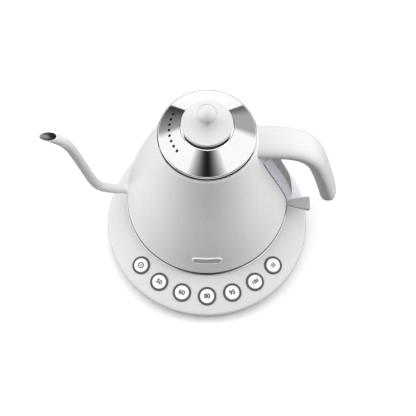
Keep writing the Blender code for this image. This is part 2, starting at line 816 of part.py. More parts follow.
def build():
    clear_scene()
    silver = material("silver_plastic", (0.62, 0.62, 0.62), 0.45)
    white = material("white_satin", (0.80, 0.80, 0.80), 0.42)
    cap_white = material("gloss_white", (0.86, 0.86, 0.86), 0.2)
    chrome = material("chrome", (0.85, 0.85, 0.87), 0.06, 1.0)
    steel = material("steel", (0.55, 0.55, 0.57), 0.3, 1.0)
    brass = material("brass", (0.75, 0.55, 0.25), 0.3, 1.0)
    grey = material("grey_plastic", (0.30, 0.30, 0.31), 0.5)
    lever_grey = material("lever_grey", (0.48, 0.48, 0.48), 0.45)
    bezel_grey = material("bezel_grey", (0.10, 0.10, 0.11), 0.4)
    black = material("black_plastic", (0.03, 0.03, 0.03), 0.5)
    board = material("board_green", (0.03, 0.18, 0.08), 0.5)
    rubber = material("rubber", (0.05, 0.05, 0.05), 0.8)
    silicone = material("silicone", (0.55, 0.55, 0.55), 0.6)
    window = material("gauge_grey", (0.22, 0.22, 0.24), 0.15)

    base = axis_empty("base_axis", (BASE_X, 0, 0))
    base_cover(base, silver)
    base_pan(base, black)
    base_feet_and_screws(base, rubber, steel)
    base_electrics(base, board, silicone, black, brass)
    keypad(base, bezel_grey, cap_white)

    kettle = axis_empty("kettle_axis", (BASE_X, KETTLE_Y, 0))
    body_shell(kettle, white)
    spout(kettle, white, steel)
    kettle_bottom(kettle, chrome, black, steel, silicone, brass)
    coupler_socket(kettle, black)
    neck_collar(kettle, chrome)
    gauge(kettle, chrome, window)
    handle(kettle, white, grey, chrome, steel)
    name_plate(kettle, steel)
    switch_lever(kettle, lever_grey, steel)

    lid_axis = axis_empty("lid_axis", (0, 0, 0), kettle)
    lid(lid_axis, chrome, white, black, silicone, steel)


build()
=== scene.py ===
import math

import bmesh
import bpy
from mathutils import Euler, Matrix, Vector

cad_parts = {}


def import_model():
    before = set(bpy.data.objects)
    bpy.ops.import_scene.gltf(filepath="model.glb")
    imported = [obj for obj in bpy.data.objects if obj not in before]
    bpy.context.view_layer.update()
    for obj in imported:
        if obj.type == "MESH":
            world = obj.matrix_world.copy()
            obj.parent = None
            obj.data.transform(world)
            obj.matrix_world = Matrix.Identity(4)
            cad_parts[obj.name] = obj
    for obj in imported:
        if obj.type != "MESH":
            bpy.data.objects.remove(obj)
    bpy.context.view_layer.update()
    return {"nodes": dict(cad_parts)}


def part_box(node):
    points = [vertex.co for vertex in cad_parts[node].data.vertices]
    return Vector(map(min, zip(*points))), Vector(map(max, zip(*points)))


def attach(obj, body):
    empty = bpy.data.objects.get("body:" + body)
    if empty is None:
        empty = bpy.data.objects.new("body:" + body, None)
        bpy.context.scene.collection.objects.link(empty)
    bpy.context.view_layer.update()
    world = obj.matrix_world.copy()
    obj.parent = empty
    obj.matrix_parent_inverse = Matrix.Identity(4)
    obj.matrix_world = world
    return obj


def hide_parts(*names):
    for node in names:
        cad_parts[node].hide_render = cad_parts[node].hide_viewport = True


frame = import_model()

# Looks of the gooseneck kettle. Sizes are in millimetres until a mesh is made.
MM = 0.001


def middle(node):
    low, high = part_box(node)
    return ((low.x + high.x) / 2 / MM, (low.y + high.y) / 2 / MM)


BASE = middle("base_pan")
KETTLE = middle("bottom_trim_ring")
BASE_RADIUS = (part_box("base_cover")[1].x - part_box("base_cover")[0].x) / 2 / MM
LID_RADIUS = (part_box("lid_cone")[1].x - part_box("lid_cone")[0].x) / 2 / MM

# Driving dimensions shared with the CAD part.
BASE_RIM_LOW = 5.5
BASE_RIM_HIGH = 14.5
PLATEAU_HEIGHT = 28.0
KEYPAD_RADIUS = 92.4
KEYPAD_HEIGHT = 24.0
KEYPAD_SLOPE = math.radians(13.4)
KEYPAD_STEP = math.radians(17.3)
KEYS = ("power", "50", "60", "80", "95", "100", "keep_warm")
BEZEL_OUTER = 10.1
BEZEL_INNER = 8.1
CAP_RADIUS = 7.8
STEM_DEPTH = 8.4
LABEL_HEIGHT = 0.12
POST_BORE = 17.3
BODY_WALL = 1.8
BODY_OUTLINE = (
    (33.3, 89.2),
    (48.0, 88.3),
    (63.0, 86.7),
    (78.0, 83.7),
    (95.0, 78.7),
    (112.0, 73.1),
    (130.0, 66.7),
    (150.0, 60.1),
    (170.0, 54.2),
    (188.0, 49.1),
)
TRIM_RADIUS = 90.8
SPOUT_RADIUS = 5.2
SPOUT_BORE = 4.6
SPOUT_HEIGHT = 58.0
SPOUT_MOUTH_HEIGHT = 187.3
SPOUT_ROUTE = (
    (-91.0, 58.0),
    (-99.0, 58.5),
    (-106.0, 60.0),
    (-113.0, 63.0),
    (-118.5, 68.5),
    (-122.0, 77.5),
    (-125.0, 92.0),
    (-129.0, 119.0),
    (-133.5, 147.5),
    (-136.0, 161.5),
    (-139.0, 170.5),
    (-142.5, 177.0),
    (-147.5, 182.5),
    (-154.0, 187.5),
    (-163.0, 193.0),
)
HANDLE_ROUTE = (
    (50.5, 174.5),
    (67.0, 173.5),
    (83.0, 171.0),
    (96.5, 163.0),
    (107.0, 149.0),
    (113.5, 132.0),
    (121.5, 104.0),
    (128.5, 76.0),
    (132.0, 61.0),
    (135.0, 45.0),
)
HANDLE_HALF_WIDTH = (17.4, 16.3, 13.4)
HANDLE_HALF_DEPTH = 9.2
HANDLE_ROOT = 7.0
HANDLE_TIP = 14.0
ROUNDNESS = 2.6
SEAM_OFFSET = 2.0
GAUGE_LOW = 43.0
GAUGE_HIGH = 158.0
GAUGE_FOOT = 15.5
GAUGE_FACE = 9.4
GAUGE_DEPTH = 5.8
WINDOW_HALF = 7.4
MARK_SECTION = ((-0.5, -0.1), (0.5, -0.1), (0.5, 0.08), (-0.5, 0.08))
LEVER_Y = -8.5
LEVER_PIVOT_X = 81.0
LEVER_HEIGHT = 38.0
LEVER_END_X = 115.0
LEVER_SLOT_SIZE = (15, 11, 8.6)
LEVER_SLOT_PLACE = (88.5, LEVER_Y, 38.2)
PLATE_HALF_WIDTH = 16.0
PLATE_HALF_HEIGHT = 6.0
PLATE_MIDDLE = 66.0
LID_LOW = 191.0
LID_RIM = 194.1
BEAD_RADIUS = 6.0
CONE_TOP_RADIUS = 26.0
CONE_TOP = 209.8
STEP_RADIUS = 25.2
STEP_TOP = 215.4
CAP_TOP = 217.0
CAP_RIM_RADIUS = 23.8
KNOB_RADIUS = 9.7
KNOB_HEIGHT = 233.0
VENT_RADIUS = 36.3
VENT_COUNT = 8
VENT_PITCH = math.radians(9.3)
VENT_MIDDLE = math.radians(186)
VENT_BORE = 1.35

# Steps round a turned piece, and the share of a side that a rounded corner may use.
FINE = 256
ROUND = 192
SMALL = 64
REACH = 0.48

# Studio light.
MIRROR_STRENGTH = 1.02
SIDE_STRENGTH = 1.75
TOP_STRENGTH = 1.8
FRONT_DIMMING = 0.9
BACK_DIMMING = 0.62
FLOOR_BOUNCE = (-0.35, 0.05, 0.12, 0.40)
FLOOR_RADIUS = 4000
RING_RADIUS = 800
LAMP_REACH = 1.3
LAMP_SIZE = 0.9
LAMP_POWER = 7.0

# Camera.
CAMERA_ELEVATION = math.radians(68.14)
CAMERA_TARGET_HEIGHT = 0.0517
CAMERA_LENS = 78.74
CAMERA_SHIFT = 0.0022


# ---------------------------------------------------------------- materials


def finish(name, colour, roughness, metallic=0.0, spread=0.03, grain=600.0, bump=0.0, coat=0.0, wear=0.05):
    """A surface with fine colour variation, uneven roughness and a bump grain."""
    mat = bpy.data.materials.new(name)
    mat.use_nodes = True
    tree = mat.node_tree
    shader = tree.nodes["Principled BSDF"]
    shader.inputs["Metallic"].default_value = metallic
    shader.inputs["Coat Weight"].default_value = coat
    shader.inputs["Coat Roughness"].default_value = 0.12
    place = tree.nodes.new("ShaderNodeTexCoord")

    def noise(scale, detail):
        node = tree.nodes.new("ShaderNodeTexNoise")
        node.inputs["Scale"].default_value = scale
        node.inputs["Detail"].default_value = detail
        tree.links.new(place.outputs["Object"], node.inputs["Vector"])
        return node

    tint = tree.nodes.new("ShaderNodeValToRGB")
    tint.color_ramp.elements[0].position = 0.3
    tint.color_ramp.elements[1].position = 0.7
    tint.color_ramp.elements[0].color = (*[c * (1 - spread) for c in colour], 1)
    tint.color_ramp.elements[1].color = (*[min(c * (1 + spread), 1) for c in colour], 1)
    tree.links.new(noise(grain, 3).outputs["Fac"], tint.inputs["Fac"])
    tree.links.new(tint.outputs["Color"], shader.inputs["Base Color"])
    gloss = tree.nodes.new("ShaderNodeMapRange")
    gloss.inputs["To Min"].default_value = max(roughness - wear, 0.02)
    gloss.inputs["To Max"].default_value = min(roughness + wear, 1.0)
    tree.links.new(noise(grain / 12, 4).outputs["Fac"], gloss.inputs["Value"])
    tree.links.new(gloss.outputs["Result"], shader.inputs["Roughness"])
    if bump:
        relief = tree.nodes.new("ShaderNodeBump")
        relief.inputs["Strength"].default_value = bump
        relief.inputs["Distance"].default_value = 0.0002
        tree.links.new(noise(grain * 2, 2).outputs["Fac"], relief.inputs["Height"])
        tree.links.new(relief.outputs["Normal"], shader.inputs["Normal"])
    return mat


LOOKS = {
    "silver_plastic": finish("satin_silver", (0.66, 0.66, 0.665), 0.42, spread=0.02, bump=0.05),
    "white_satin": finish("satin_white", (0.80, 0.80, 0.80), 0.45, spread=0.05, grain=800, bump=0.8),
    "cap_white": finish("gloss_white", (0.86, 0.86, 0.87), 0.25, spread=0.01, coat=0.3),
    "chrome": finish("polished_chrome", (0.92, 0.925, 0.94), 0.06, 1.0, spread=0.01, wear=0.02),
    "steel": finish("brushed_steel", (0.60, 0.60, 0.62), 0.32, 1.0, bump=0.1),
    "brass": finish("brass", (0.78, 0.58, 0.28), 0.3, 1.0, bump=0.05),
    "grey_plastic": finish("grey_liner", (0.62, 0.62, 0.63), 0.5, bump=0.15),
    "lever_grey": finish("light_grey", (0.52, 0.52, 0.52), 0.42, bump=0.08),
    "bezel_grey": finish("bezel_grey", (0.085, 0.085, 0.09), 0.35, bump=0.03),
    "black_plastic": finish("black_plastic", (0.03, 0.03, 0.03), 0.5, bump=0.1),
    "board_green": finish("board_green", (0.03, 0.18, 0.08), 0.5, spread=0.15, bump=0.1),
    "rubber": finish("rubber", (0.05, 0.05, 0.05), 0.8, bump=0.2),
    "silicone": finish("silicone", (0.55, 0.55, 0.55), 0.6, bump=0.1),
    "gauge_grey": finish("gauge_window", (0.58, 0.58, 0.59), 0.35, coat=0.1),
    "gauge_silver": finish("gauge_silver", (0.86, 0.86, 0.93), 0.3, 0.0, spread=0.01),
    "seam_silver": finish("seam_silver", (0.90, 0.90, 0.93), 0.3, 0.3, spread=0.01),
    "plate_grey": finish("plate_grey", (0.50, 0.50, 0.51), 0.35),
}
HANDLE_WHITE = finish("handle_white", (0.71, 0.71, 0.71), 0.38, spread=0.012, bump=0.04)
LID_WHITE = finish("lid_white", (0.68, 0.68, 0.68), 0.3, spread=0.01, bump=0.02, coat=0.2)
LABEL = finish("label_ink", (0.05, 0.05, 0.055), 0.5)
SPOUT_INSIDE = finish("spout_inside", (0.32, 0.32, 0.33), 0.35, 0.8)


# ------------------------------------------------------------ mesh builders


def piece(name, bm, mats, body, replaces=(), centre=(0, 0), matrix=None, sharp=38):
    """Makes the mesh a named object that rides on a body and stands for CAD nodes."""
    bmesh.ops.remove_doubles(bm, verts=bm.verts, dist=1e-7)
    bmesh.ops.recalc_face_normals(bm, faces=bm.faces)
    mesh = bpy.data.meshes.new(name)
    bm.to_mesh(mesh)
    bm.free()
    if matrix is not None:
        mesh.transform(matrix)
    mesh.transform(Matrix.Translation((centre[0] * MM, centre[1] * MM, 0)))
    mesh.shade_smooth()
    mesh.set_sharp_from_angle(angle=math.radians(sharp))
    for mat in mats if isinstance(mats, (list, tuple)) else [mats]:
        mesh.materials.append(mat)
    obj = bpy.data.objects.new(name, mesh)
    bpy.context.scene.collection.objects.link(obj)
    if body:
        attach(obj, body)
    if replaces:
        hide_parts(*replaces)
    return obj


def filleted(points, radius, parts=6, closed=True):
    """Rounds each corner of an (r, z) outline; points on the axis stay sharp."""
    out = []
    count = len(points)
    for i, point in enumerate(points):
        here = Vector(point[:2])
        wanted = point[2] if len(point) > 2 else radius
        if not closed and i in (0, count - 1):
            out.append(here)
            continue
        before = Vector(points[i - 1][:2]) - here
        after = Vector(points[(i + 1) % count][:2]) - here
        if here.x < 1e-6 or wanted <= 0:
            out.append(here)
            continue
        turn = before.angle(after)
        reach = wanted / math.tan(turn / 2) if turn < math.pi - 1e-3 else 0
        reach = min(reach, before.length * REACH, after.length * REACH)
        if reach < 1e-3:
            out.append(here)
            continue
        a = here + before.normalized() * reach
        b = here + after.normalized() * reach
        for k in range(parts + 1):
            t = k / parts
            out.append(a * (1 - t) ** 2 + here * 2 * t * (1 - t) + b * t * t)
    return out


def rounded_corner(before, corner, after, radius, parts):
    """The arc that rounds one corner between two straight sides."""
    corner = Vector(corner)
    back = Vector(before) - corner
    ahead = Vector(after) - corner
    reach = min(radius / math.tan(back.angle(ahead) / 2), back.length * 0.95)
    a = corner + back.normalized() * reach
    b = corner + ahead.normalized() * reach
    steps = [k / parts for k in range(parts + 1)]
    return [a * (1 - t) ** 2 + corner * 2 * t * (1 - t) + b * t * t for t in steps]


def spun(outline, steps=ROUND, ring=False):
    """Spins an (r, z) outline round Z; ring joins the last point to the first."""
    bm = bmesh.new()
    verts = [bm.verts.new((p[0] * MM, 0, p[1] * MM)) for p in outline]
    edges = [bm.edges.new(pair) for pair in zip(verts, verts[1:])]
    if ring:
        edges.append(bm.edges.new((verts[-1], verts[0])))
    bmesh.ops.spin(
        bm,
        geom=verts + edges,
        cent=(0, 0, 0),
        axis=(0, 0, 1),
        angle=2 * math.pi,
        steps=steps,
        use_merge=True,
    )
    return bm


def lofted(sections, cyclic=False, capped=True):
    """Skins equal closed sections; cyclic joins the last to the first."""
    bm = bmesh.new()
    rows = [[bm.verts.new(Vector(p) * MM) for p in section] for section in sections]
    count = len(rows[0])
    pairs = list(zip(rows, rows[1:]))
    if cyclic:
        pairs.append((rows[-1], rows[0]))
    for low, high in pairs:
        for i in range(count):
            j = (i + 1) % count
            bm.faces.new((low[i], low[j], high[j], high[i]))
    if capped and not cyclic:
        bm.faces.new(rows[0])
        bm.faces.new(rows[-1])
    return bm


def rod(radius, length, steps=SMALL, matrix=None):
    """A capped cylinder that stands on its own origin."""
    bm = bmesh.new()
    lift = Matrix.Translation((0, 0, length / 2 * MM))
    bmesh.ops.create_cone(
        bm,
        cap_ends=True,
        segments=steps,
        radius1=radius * MM,
        radius2=radius * MM,
        depth=length * MM,
        matrix=(matrix or Matrix.Identity(4)) @ lift,
    )
    return bm


def add_to(target, source):
    """Adds the source's faces to the target and frees the source."""
    mesh = bpy.data.meshes.new("shell")
    source.to_mesh(mesh)
    source.free()
    target.from_mesh(mesh)
    bpy.data.meshes.remove(mesh)


def cut(obj, bm, centre=(0, 0)):
    """Subtracts a helper shape from the piece and keeps the result as its mesh."""
    bmesh.ops.recalc_face_normals(bm, faces=bm.faces)
    mesh = bpy.data.meshes.new("cutter")
    bm.to_mesh(mesh)
    bm.free()
    mesh.transform(Matrix.Translation((centre[0] * MM, centre[1] * MM, 0)))
    helper = bpy.data.objects.new("cutter", mesh)
    bpy.context.scene.collection.objects.link(helper)
    modifier = obj.modifiers.new("cut", "BOOLEAN")
    modifier.operation = "DIFFERENCE"
    modifier.solver = "EXACT"
    modifier.object = helper
    bpy.context.view_layer.update()
    graph = bpy.context.evaluated_depsgraph_get()
    result = bpy.data.meshes.new_from_object(obj.evaluated_get(graph))
    obj.modifiers.clear()
    obj.data = result
    bpy.data.objects.remove(helper)
    result.shade_smooth()
    result.set_sharp_from_angle(angle=math.radians(38))


def true_normals(obj, centre, outline):
    """Sets the exact normals of the spun upper surface, which a cut leaves uneven."""
    rows = []
    for a, b in zip(outline, outline[1:]):
        along = Vector(b) - Vector(a)
        if along.x > 1e-6 and along.length > 1e-6:
            rows.append((a[0], b[0], Vector((-along.y, along.x)).normalized()))
    mids = [((a + b) / 2, n) for a, b, n in rows]

    def normal_at(radius):
        for (r0, n0), (r1, n1) in zip(mids, mids[1:]):
            if r0 <= radius <= r1:
                return n0.lerp(n1, (radius - r0) / (r1 - r0)).normalized()
        return mids[0][1] if radius < mids[0][0] else mids[-1][1]

    mesh = obj.data
    corners = [Vector(c.vector) for c in mesh.corner_normals]
    for poly in mesh.polygons:
        if poly.normal.z < 0.3:
            continue
        for index in poly.loop_indices:
            co = mesh.vertices[mesh.loops[index].vertex_index].co
            x, y = co.x - centre[0] * MM, co.y - centre[1] * MM
            radius = math.hypot(x, y)
            if radius < 1e-6:
                continue
            n = normal_at(radius / MM)
            exact = Vector((n.x * x / radius, n.x * y / radius, n.y))
            if exact.dot(poly.normal) > 0.985:
                corners[index] = exact
    mesh.normals_split_custom_set([tuple(c) for c in corners])


def smooth_line(points, per_span):
    """Catmull-Rom curve through two-dimensional points."""
    padded = [Vector(points[0]) * 2 - Vector(points[1])]
    padded += [Vector(point) for point in points]
    padded.append(Vector(points[-1]) * 2 - Vector(points[-2]))
    line = []
    for a, b, c, d in zip(padded, padded[1:], padded[2:], padded[3:]):
        for step in range(per_span):
            t = step / per_span
            line.append(
                0.5
                * (2 * b + (c - a) * t + (2 * a - 5 * b + 4 * c - d) * t**2 + (3 * b - a - 3 * c + d) * t**3)
            )
    line.append(padded[-2])
    return line


def line_normals(line):
    normals = []
    for i in range(len(line)):
        ahead = line[min(i + 1, len(line) - 1)] - line[max(i - 1, 0)]
        ahead.normalize()
        normals.append(Vector((-ahead.y, ahead.x)))
    return normals


BODY_LINE = smooth_line(BODY_OUTLINE, 8)


def body_radius(z):
    """The body's outer radius at a height."""
    for low, high in zip(BODY_LINE, BODY_LINE[1:]):
        if z <= high.x:
            return low.y + (high.y - low.y) * max(z - low.x, 0) / (high.x - low.x)
    return BODY_LINE[-1].y


def on_body(z, sideways, outward):
    """A point on the handle side, some way outward from the body's surface."""
    radius = body_radius(z) + outward
    return (math.sqrt(radius**2 - sideways**2), sideways, z)


def shifted(x=0.0, y=0.0, z=0.0, turn=None):
    move = Matrix.Translation(Vector((x, y, z)) * MM)
    return move @ turn.to_matrix().to_4x4() if turn else move


def key_place(index):
    """Frame of a key: on the panel, its Y axis pointing up the slope."""
    angle = (index - (len(KEYS) - 1) / 2) * KEYPAD_STEP
    x, y = KEYPAD_RADIUS * math.sin(angle), -KEYPAD_RADIUS * math.cos(angle)
    return shifted(x, y, KEYPAD_HEIGHT, Euler((KEYPAD_SLOPE, 0, angle)))


# --------------------------------------------------------------------- base


def base_cover():
    """The sloping top, its rounded rim and undercut, and the bores for the keys and the post."""
    slope = (
        (0, PLATEAU_HEIGHT),
        (40, PLATEAU_HEIGHT),
        (66, PLATEAU_HEIGHT),
        (74, 27.75),
        (83, 26.2),
        (KEYPAD_RADIUS, KEYPAD_HEIGHT),
        (101, 21.6),
        (107.6, 19.3),
    )
    top = smooth_line(slope, 6)
    rim = filleted(((107.6, 19.3), (111.2, 17.6), (BASE_RADIUS, BASE_RIM_HIGH), (111.9, 12.0)), 2.6, 6, False)
    low = filleted(((111.9, 12.0), (110.4, 8.6), (108.4, BASE_RIM_LOW), (106.8, BASE_RIM_LOW)), 1.2, 4, False)
    inner = [(109.0, 11.5), (109.2, 14.3), (106.6, 16.4), (91.8, 21.2), (71.6, 25.2), (0, 25.2)]
    outline = [tuple(p) for p in top] + [tuple(p) for p in rim[1:]] + [tuple(p) for p in low[1:]] + inner
    cover = piece("cover_shell", spun(outline, FINE), LOOKS["silver_plastic"], None, centre=BASE)
    bores = rod(POST_BORE, 10, SMALL, shifted(0, KETTLE[1] - BASE[1], PLATEAU_HEIGHT - 6))
    for index in range(len(KEYS)):
        add_to(bores, rod(BEZEL_OUTER + 0.1, 16, SMALL, key_place(index) @ shifted(z=-10)))
    cut(cover, bores, BASE)
    true_normals(cover, BASE, [tuple(p) for p in top] + [tuple(p) for p in rim[1:]])
    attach(cover, "base")
    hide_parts("base_cover")


def stroke(points, half, height):
    """A flat raised line through (x, y) points with square ends."""
    line = [Vector(p) for p in points]
    normals = line_normals(line)
    sections = []
    for centre, normal in zip(line, normals):
        a, b = centre + normal * half, centre - normal * half
        sections.append(((a.x, a.y, 0), (b.x, b.y, 0), (b.x, b.y, height), (a.x, a.y, height)))
    return lofted(sections)


def label_mesh(key):
    """The sign or number on a key, a little above its cap."""
    height = LABEL_HEIGHT
    if key == "power":
        bm = spun(((2.4, 0), (3.4, 0), (3.4, height), (2.4, height)), SMALL, True)
        add_to(bm, stroke(((-0.5, -1.4), (0.6, 1.5)), 0.5, height))
        return bm
    if key == "keep_warm":
        bm = bmesh.new()
        for across in (-1.7, 0, 1.7):
            wave = [(across + 0.42 * math.sin(t / 16 * 4 * math.pi), -2.3 + 4.6 * t / 16) for t in range(17)]
            add_to(bm, stroke(wave, 0.36, height))
        return bm
    curve = bpy.data.curves.new("digits", "FONT")
    curve.body = key
    curve.align_x = "CENTER"
    curve.align_y = "CENTER"
    curve.size = 6.8 * MM
    curve.extrude = height / 2 * MM
    curve.offset = 0.22 * MM
    curve.resolution_u = 4
    if len(key) > 2:
        curve.size = 5.4 * MM
    text = bpy.data.objects.new("digits", curve)
    bpy.context.scene.collection.objects.link(text)
    bpy.context.view_layer.update()
    mesh = bpy.data.meshes.new_from_object(text.evaluated_get(bpy.context.evaluated_depsgraph_get()))
    mesh.transform(Matrix.Translation((0, 0, height / 2 * MM)))
    bpy.data.objects.remove(text)
    bm = bmesh.new()
    bm.from_mesh(mesh)
    bpy.data.meshes.remove(mesh)
    return bm


def keypad():
    for index, key in enumerate(KEYS):
        spot = key_place(index)
        bezel = filleted(
            (
                (BEZEL_INNER, -4.6, 0),
                (BEZEL_OUTER, -4.6, 0),
                (BEZEL_OUTER + 0.05, 0.35, 0.25),
                (BEZEL_OUTER - 0.6, 0.7, 0.4),
                (BEZEL_INNER + 0.35, 0.5, 0.2),
                (BEZEL_INNER, 0.2, 0.2),
            ),
            0.2,
            4,
        )
        piece(
            f"ring_{key}",
            spun(bezel, SMALL, True),
            LOOKS["bezel_grey"],
            "base",
            [f"bezel_{key}"],
            BASE,
            spot,
        )
        cap = filleted(
            (
                (0, -STEM_DEPTH),
                (2.4, -STEM_DEPTH, 0.2),
                (2.4, -3.4, 0.2),
                (CAP_RADIUS - 0.05, -3.4, 0.2),
                (CAP_RADIUS - 0.05, 1.15, 0.8),
                (4.5, 1.16, 3.0),
                (0, 1.05),
            ),
            0.3,
            6,
            False,
        )
        piece(
            f"cap_{key}",
            spun(cap, SMALL),
            LOOKS["cap_white"],
            f"button_{key}",
            [f"button_{key}"],
            BASE,
            spot,
        )
        label = label_mesh(key)
        raised = spot @ shifted(z=1.08)
        piece(f"label_{key}", label, LABEL, f"button_{key}", centre=BASE, matrix=raised, sharp=30)


def turned_piece(name, node, points, radius, slot, body, centre, ring=False, steps=SMALL, matrix=None):
    outline = filleted(points, radius, 4, ring)
    return piece(name, spun(outline, steps, ring), LOOKS[slot], body, [node], centre, matrix)


def paint_shade_faces(obj, mat, chosen):
    """Paints shade on the faces that are chosen by their centre, taken from the axis, by giving them a second
    material.
    """
    obj.data.materials.append(mat)
    axis = Vector((KETTLE[0], KETTLE[1], 0)) * MM
    for poly in obj.data.polygons:
        if chosen(poly.center - axis):
            poly.material_index = 1


def base_hidden():
    pan = ((0, 2.6), (103.6, 2.6), (106.8, 3.4), (108.0, 5.2), (0, 5.2))
    turned_piece("pan", "base_pan", pan, 0.6, "black_plastic", "base", BASE, steps=ROUND)
    for index in range(1, 5):
        foot = ((0, 0), (7.3, 0, 0.8), (7.3, 2.3, 0.1), (0, 2.3))
        node = f"rubber_foot_{index}"
        turned_piece(f"foot_{index}", node, foot, 0.5, "rubber", "base", middle(node))
    seat = KETTLE
    post = (
        (0, 8.0),
        (17.0, 8.0, 0.2),
        (17.0, 27.4, 0.6),
        (14.2, 28.2, 0.4),
        (14.2, 41.2, 0.4),
        (13.2, 42.2, 0.4),
        (11.2, 42.2, 0.4),
        (11.2, 34.0, 0.3),
        (8.4, 34.0, 0.3),
        (8.4, 42.2, 0.4),
        (3.6, 42.2, 0.4),
        (3.6, 34.0, 0.2),
        (0, 34.0),
    )
    turned_piece("post", "coupler_post", post, 0.3, "black_plastic", "base", seat)
    contact = ((8.8, 34.3), (10.7, 34.3), (10.7, 40.0), (8.8, 40.0))
    turned_piece("contact_ring", "coupler_contact_ring", contact, 0.3, "brass", "base", seat, True)
    pin = ((0, 34.3), (2.4, 34.3), (2.4, 40.6), (1.6, 41.6), (0, 41.6))
    turned_piece("contact_pin", "coupler_pin", pin, 0.4, "brass", "base", seat)
    gland = ((2.2, -8), (3.8, -8), (3.8, 0.3, 0.4), (2.2, 0.3, 0.3))
    low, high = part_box("cord_gland")
    facing_back = Euler((-math.pi / 2, 0, 0)).to_matrix().to_4x4()
    mouth = Matrix.Translation((0, high.y - 0.0004, (low.z + high.z) / 2)) @ facing_back
    turned_piece("gland", "cord_gland", gland, 0.2, "black_plastic", "base", (BASE[0], 0), True, matrix=mouth)


# ------------------------------------------------------------------- kettle


def body_shell():
    """The tapered wall, open at both ends, with a slot where the lever enters."""
    outer = [(p.y, p.x) for p in BODY_LINE]
    outer[0] = (outer[0][0] - 0.15, outer[0][1])
    lip = [(outer[-1][0] - 0.3, outer[-1][1]), (outer[-1][0] - BODY_WALL + 0.2, outer[-1][1])]
    inner = [(r - BODY_WALL, z) for r, z in reversed(outer)]
    outer[-1] = (outer[-1][0], outer[-1][1] - 0.3)
    shell = piece("shell", spun(outer + lip + inner, FINE, True), LOOKS["white_satin"], None, centre=KETTLE)
    slot = bmesh.new()
    size = Vector(LEVER_SLOT_SIZE) * MM
    spot = Vector(LEVER_SLOT_PLACE) * MM
    bmesh.ops.create_cube(slot, size=1.0, matrix=Matrix.LocRotScale(spot, None, size))
    bmesh.ops.bevel(slot, geom=slot.edges, offset=1.2 * MM, segments=4, affect="EDGES", profile=0.5)
    cut(shell, slot, KETTLE)
    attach(shell, "kettle")
    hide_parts("body_shell")


def spout():
    line = [Vector((-86.2, SPOUT_HEIGHT))] + smooth_line(SPOUT_ROUTE, 8)
    normals = line_normals(line)
    sides = 40

    def section(radius, centre, normal):
        ring = []
        for side in range(sides):
            angle = 2 * math.pi * side / sides
            offset = normal * radius * math.cos(angle)
            ring.append((centre.x + offset.x, radius * math.sin(angle), centre.y + offset.y))
        return ring

    def flare(point):
        wall = body_radius(SPOUT_HEIGHT)
        away = max(-point.x - wall, 0)
        return SPOUT_RADIUS + 1.5 * max(1 - away / 3.0, 0) ** 2

    outer = [section(flare(c), c, n) for c, n in zip(line, normals)]
    inner = [section(SPOUT_BORE, c, n) for c, n in zip(line, normals)]
    bm = lofted(outer + inner[::-1], cyclic=True)
    bm.faces.ensure_lookup_table()
    first_inner = (len(outer) - 1) * sides
    for index, face in enumerate(bm.faces):
        face.material_index = 1 if index >= first_inner + sides else 0
    tube = piece("spout", bm, [LOOKS["white_satin"], SPOUT_INSIDE], None, centre=KETTLE)
    block = bmesh.new()
    size = Vector((60, 24, 20)) * MM
    spot = Vector((-160, 0, SPOUT_MOUTH_HEIGHT + 10)) * MM
    bmesh.ops.create_cube(block, size=1.0, matrix=Matrix.LocRotScale(spot, None, size))
    cut(tube, block, KETTLE)
    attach(tube, "kettle")
    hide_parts("spout_tube")


def kettle_bottom():
    trim = (
        (84.6, 33.0, 0.2),
        (84.6, 30.5, 0.2),
        (87.3, 30.5, 0.2),
        (87.3, 28.8, 0.3),
        (TRIM_RADIUS - 0.4, 28.8, 0.2),
        (TRIM_RADIUS - 0.05, 29.3, 0.3),
        (TRIM_RADIUS - 0.3, 30.1, 0.3),
        (89.7, 30.65, 0),
        (89.6, 33.0, 0.3),
    )
    ring = turned_piece("foot_trim", "bottom_trim_ring", trim, 0.2, "chrome", "kettle", KETTLE, True, FINE)
    # Painted shade: the recess above the trim's flange is painted black for the shadowed gap over the base.
    paint_shade_faces(ring, LOOKS["black_plastic"], lambda spot: spot.z > 30.9 * MM and spot.xy.length > 86.0 * MM)
    cover = (
        (20.4, 28.3),
        (85.4, 28.3),
        (86.9, 29.2),
        (86.9, 30.2, 0),
        (84.2, 30.2, 0),
        (84.2, 32.6, 0),
        (82.4, 32.6, 0),
        (82.4, 30.8),
        (20.4, 30.8),
    )
    turned_piece("underside", "bottom_cover", cover, 0.4, "black_plastic", "kettle", KETTLE, True, ROUND)
    low, high = 47.0, 48.6
    floor = ((0, low), (82.4, low), (82.4, high), (0, high))
    turned_piece("floor_plate", "heating_plate", floor, 0.4, "steel", "kettle", KETTLE, steps=ROUND)
    gasket = ((82.7, low - 1.2), (85.9, low - 1.2), (85.7, high + 1), (82.7, high + 1))
    turned_piece("floor_gasket", "plate_gasket", gasket, 0.5, "silicone", "kettle", KETTLE, True, ROUND)
    probe = ((0, low - 9), (3.0, low - 9), (3.0, low + 6), (1.8, low + 9), (0, low + 9.5))
    turned_piece("probe", "temperature_sensor", probe, 0.6, "brass", "kettle", middle("temperature_sensor"))
    collar = (
        (45.0, 183.6),
        (46.9, 183.6, 0.2),
        (46.9, 188.3, 0),
        (48.2, 188.3, 0.8),
        (48.2, 190.5, 1.2),
        (45.0, 190.5, 0.4),
    )
    turned_piece("collar", "neck_collar", collar, 0.3, "chrome", "kettle", KETTLE, True, FINE)
    cup = ((0, 45.8), (20.0, 45.8), (20.0, 28.6), (15.4, 28.6), (15.4, 43.8), (0, 43.8))
    turned_piece("socket", "coupler_socket", cup, 0.5, "black_plastic", "coupler", KETTLE)


